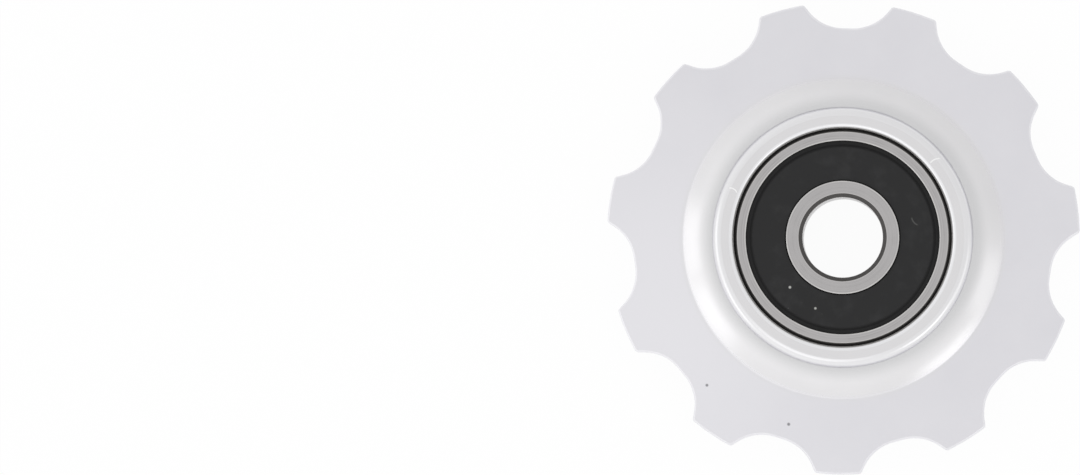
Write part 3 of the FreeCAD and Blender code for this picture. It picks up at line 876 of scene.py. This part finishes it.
# Moulded nitrile rubber: near black and matte, with a fine mould grain, faint rings from the turned mould,
# and grey dust that has settled on it.
rubber = {
    "colour": "#1B1B1C",
    "smudge": "#2A2A2B",
    # painted shade: the low bead in its recess beside the outer ring is painted darker
    "beadShade": "#0D0D0E",
    "beadShadeStart": 0.72,       # mm from the outer ring to where the rubber starts to darken
    "beadShadeEnd": 0.38,         # and to where it is darkest
    "dust": "#B4B4B0",
    "smoothest": 0.56,       # roughness, from here
    "roughest": 0.68,        # to here
    "specular": 0.35,
    "grain": {"Scale": 1 / 0.14, "Detail": 2.0, "Roughness": 0.7},   # mm; real 0.05 mm is too fine to show
    "grainRelief": (0.25, 0.02),
    "ringPitch": 0.35,       # mm
    "ringRelief": (0.12, 0.03),
    "smudges": {"Scale": 1 / 1.8, "Detail": 4.0, "Roughness": 0.6},   # mm
    "smudgeRange": {"From Min": 0.45, "From Max": 0.75},
    "crumbs": {"Scale": 1 / 0.22, "Detail": 1.0},   # mm
    "crumbRange": {"From Min": 0.8, "From Max": 0.86},   # only the highest peaks
    "dustFade": 0.05,        # mm
    "dustPlaces": [(-4.50, -4.45, 0.11, 1.0), (-2.24, -6.24, 0.10, 0.9)],
    "smearCover": 0.12,
    "smearWidth": 0.09,      # mm, half of it
    "smear": {"centre": (6.85, 2.05), "radius": 0.9, "middle": (6.2, 1.5), "halfLength": 0.40},
}


# The low bead at the rim is painted darker: painted shade in its recess beside the outer ring.
def makeRubber(size, outside):
    material, tree, place = startMaterial("moulded nitrile rubber")
    distance, masks = aroundAxle(tree, place, [(outside - size["beadShadeStart"], outside - size["beadShadeEnd"])])
    fine = addNode(tree, "ShaderNodeTexNoise", None, {"Vector": place, **size["grain"]})
    rings = turnedRings(tree, distance, place, size["ringPitch"])
    clouds = addNode(tree, "ShaderNodeTexNoise", None, {"Vector": place, **size["smudges"]})
    smudge = addNode(tree, "ShaderNodeMapRange", smooth, {"Value": clouds, **size["smudgeRange"]})
    dots = addNode(tree, "ShaderNodeTexNoise", None, {"Vector": place, **size["crumbs"]})
    crumbs = addNode(tree, "ShaderNodeMapRange", smooth, {"Value": dots, **size["crumbRange"]})
    smear = curvedScratch(tree, place, size["smear"], size["smearWidth"])
    dust = [(crumbs, smudge), (smear, size["smearCover"])]
    for x, y, radius, cover in size["dustPlaces"]:
        dust.append((spot(tree, place, (x, y), radius, size["dustFade"]), cover))
    layers = [(smudge, size["smudge"])]
    for shape, cover in dust:
        layers.append((addNode(tree, "ShaderNodeMath", multiply, {0: shape, 1: cover}), size["dust"]))
    # Painted shade on the low bead at the rim.
    layers.append((masks[0], size["beadShade"]))
    colour = layered(tree, size["colour"], layers)
    level = addNode(tree, "ShaderNodeMapRange", None,
                    {"Value": smudge, "To Min": size["smoothest"], "To Max": size["roughest"]})
    reliefs = [(fine, size["grainRelief"]), (rings, size["ringRelief"])]
    return finishMaterial(material, {"Specular IOR Level": size["specular"]}, colour, level, reliefs)


# Phosphated strip steel, punched: dull dark grey with a fine crystal grain, hidden behind the rubber.
coreSteel = {
    "colour": "#6B6B6D",
    "darkColour": "#4C4D50",
    "smoothest": 0.47,
    "roughest": 0.63,
    "crystals": {"Scale": 1 / 0.12},   # mm
    "crystalRange": {"From Min": 0.1, "From Max": 0.7},
    "clouds": {"Scale": 1 / 1.2, "Detail": 3.0},   # mm
    "relief": (0.3, 0.01),
}


def makeCoreSteel(size):
    material, tree, place = startMaterial("phosphated strip steel")
    crystals = addNode(tree, "ShaderNodeTexVoronoi", None, {"Vector": place, **size["crystals"]}, "Distance")
    cloud = addNode(tree, "ShaderNodeTexNoise", None, {"Vector": place, **size["clouds"]})
    facets = addNode(tree, "ShaderNodeMapRange", smooth, {"Value": crystals, **size["crystalRange"]})
    return finishHiddenSteel(material, size, facets, cloud, crystals)


rubberMaterial = makeRubber(rubber, bearing["faceRadius"])
coreMaterial = makeCoreSteel(coreSteel)
for side, facing in sides.items():
    sealMesh = makeSealMesh("seal" + side, sealCorners(seal, bearing), facing)
    coreMesh = makeSealMesh("sealCore" + side, coreCorners(seal), facing)
    placePiece(sealMesh, rubberMaterial, "wheel", "seal_" + side.lower())
    placePiece(coreMesh, coreMaterial, "wheel", "seal_core_" + side.lower())
print("seals: 2, with their cores")


# Balls

# Hardened chrome steel, ground and lapped: almost a mirror, with the faintest mottle.
ballSteel = {
    "colour": "#C8C8CA",
    "darkColour": "#BDBDC0",
    "smoothest": 0.04,
    "roughest": 0.10,
    "mottle": {"Scale": 1 / 0.5, "Detail": 3.0},   # mm
    "relief": (0.02, 0.01),
    "rows": 33,
    "columns": 64,
}


def makeBallSteel(size):
    material, tree, place = startMaterial("lapped chrome steel")
    mottle = addNode(tree, "ShaderNodeTexNoise", None, {"Vector": place, **size["mottle"]})
    return finishHiddenSteel(material, size, mottle, mottle, mottle)


# A ball: half a circle from pole to pole, carried round the ball's own upright axis.
def makeBallMesh(name, size, radius, centre):
    rise = np.linspace(-math.pi / 2, math.pi / 2, size["rows"])
    points = radius * np.exp(1j * rise)
    points.real[[0, -1]] = 0
    return turnedMesh(name, (points, np.zeros(len(points))), size["columns"], centre, rowsGoRound=False)


# Cage and rivets
cage = {
    "thickness": 0.3,
    "width": 1.7,
    "pocketClearance": 0.06,
    "rivetRadius": 0.3,
    "headRadius": 0.5,
    "headHeight": 0.2,
    "headRound": 0.08,
    "shankRow": 0.05,        # mm from the middle plane to the first row on a rivet's shank
    "fineEdge": 0.03,
    "pocketColumns": 29,
    "landColumns": 5,
    "sheetRows": 5,
    "rivetColumns": 36,
}


# One half of the ribbon cage. Over a ball, the sheet's underside is an arc of the pocket's radius about the
# ball and its top an arc one sheet thickness larger; between the balls the sheet is flat. A point that lies t
# beside a ball's middle is at the ball's angle plus asin(t / r), for every distance r from the axle.
def makeCageMesh(name, size, ring, facing):
    pocket = ring["ballRadius"] + size["pocketClearance"]
    halfWidth = size["width"] / 2
    reach = np.linspace(ring["ballCircle"] - halfWidth, ring["ballCircle"] + halfWidth, size["sheetRows"])
    ballAngles = math.pi / 2 + np.arange(ring["balls"]) * fullTurn / ring["balls"]
    landShare = np.linspace(0, 1, size["landColumns"] + 2)[1:-1]
    flat = []
    height = []
    for landHeight in (0.0, size["thickness"]):
        start = math.asin(landHeight / (pocket + landHeight))
        lift = np.linspace(start, math.pi - start, size["pocketColumns"])
        path = -(pocket + landHeight) * np.exp(-1j * lift)   # beside the ball's middle, and height
        beside = np.arcsin(path.real / reach[:, None])       # sheet rows, pocket columns
        landWidth = fullTurn / ring["balls"] - 2 * beside[:, -1:]
        sector = np.concatenate([beside, beside[:, -1:] + landWidth * landShare], axis=1)
        angle = (ballAngles[:, None] + sector[:, None, :]).reshape(len(reach), -1)
        level = np.concatenate([path.imag, np.full(len(landShare), landHeight)])
        flat.append(reach[:, None] * np.exp(1j * angle))
        height.append(np.tile(level, (len(reach), ring["balls"])))
    flat = np.concatenate([flat[0], flat[1][::-1]])
    return gridMesh(name, flat, facing * np.concatenate(height))


# A closed rivet: a shank through both halves of the cage, with a low head on each side.
def makeRivetMesh(name, size, centre):
    sheet = size["thickness"]
    top = sheet + size["headHeight"]
    upper = [
        (0, top, 0),
        (size["rivetRadius"], top, size["headRound"]),
        (size["headRadius"], sheet, size["fineEdge"]),
        (size["rivetRadius"], sheet, size["fineEdge"]),
        (size["rivetRadius"], size["shankRow"], 0),
    ]
    section = mirroredSection(roundedLine(upper, closed=False))
    return turnedMesh(name, section, size["rivetColumns"], centre, rowsGoRound=False)


# Cold-rolled strip steel, pressed: mid-grey with faint rolling lines all in one direction and soft dents from
# the press tool.
stripSteel = {
    "colour": "#A09D99",
    "darkColour": "#8B8986",
    "smoothest": 0.28,
    "roughest": 0.42,
    "lineWidth": 0.08,       # mm; rolling lines are 0.02 mm, drawn coarser to show
    "lineLength": 2.0,       # mm
    "lineRange": {"From Min": 0.35, "From Max": 0.7},
    "dents": {"Scale": 1 / 0.7, "Detail": 2.0},   # mm
    "relief": (0.15, 0.01),
}


def makeStripSteel(size):
    material, tree, place = startMaterial("cold-rolled strip steel")
    drawn = addNode(tree, "ShaderNodeVectorMath", multiply,
                    {0: place, 1: (size["lineWidth"] / size["lineLength"], 1, 1)})
    lines = addNode(tree, "ShaderNodeTexNoise", None,
                    {"Vector": drawn, "Scale": 1 / size["lineWidth"], "Detail": 3.0})
    dents = addNode(tree, "ShaderNodeTexNoise", None, {"Vector": place, **size["dents"]})
    rolled = addNode(tree, "ShaderNodeMapRange", smooth, {"Value": lines, **size["lineRange"]})
    return finishHiddenSteel(material, size, rolled, dents, lines)


ballMaterial = makeBallSteel(ballSteel)
stripMaterial = makeStripSteel(stripSteel)
for number in range(bearing["balls"]):
    ballAngle = math.pi / 2 + fullTurn * number / bearing["balls"]
    rivetAngle = ballAngle + math.pi / bearing["balls"]
    end = str(number + 1)
    ballPlace = bearing["ballCircle"] * np.exp(1j * ballAngle)
    rivetPlace = bearing["ballCircle"] * np.exp(1j * rivetAngle)
    ballMesh = makeBallMesh("ball" + end, ballSteel, bearing["ballRadius"], ballPlace)
    rivetMesh = makeRivetMesh("rivet" + end, cage, rivetPlace)
    placePiece(ballMesh, ballMaterial, "ball_" + end, "bearing_ball_" + end)
    placePiece(rivetMesh, stripMaterial, "cage", "cage_rivet_" + end)
for side, facing in sides.items():
    cageMesh = makeCageMesh("cage" + side, cage, bearing, facing)
    placePiece(cageMesh, stripMaterial, "cage", "cage_" + side.lower())
print("balls, rivets and cage:", 2 * bearing["balls"] + 2, "pieces")
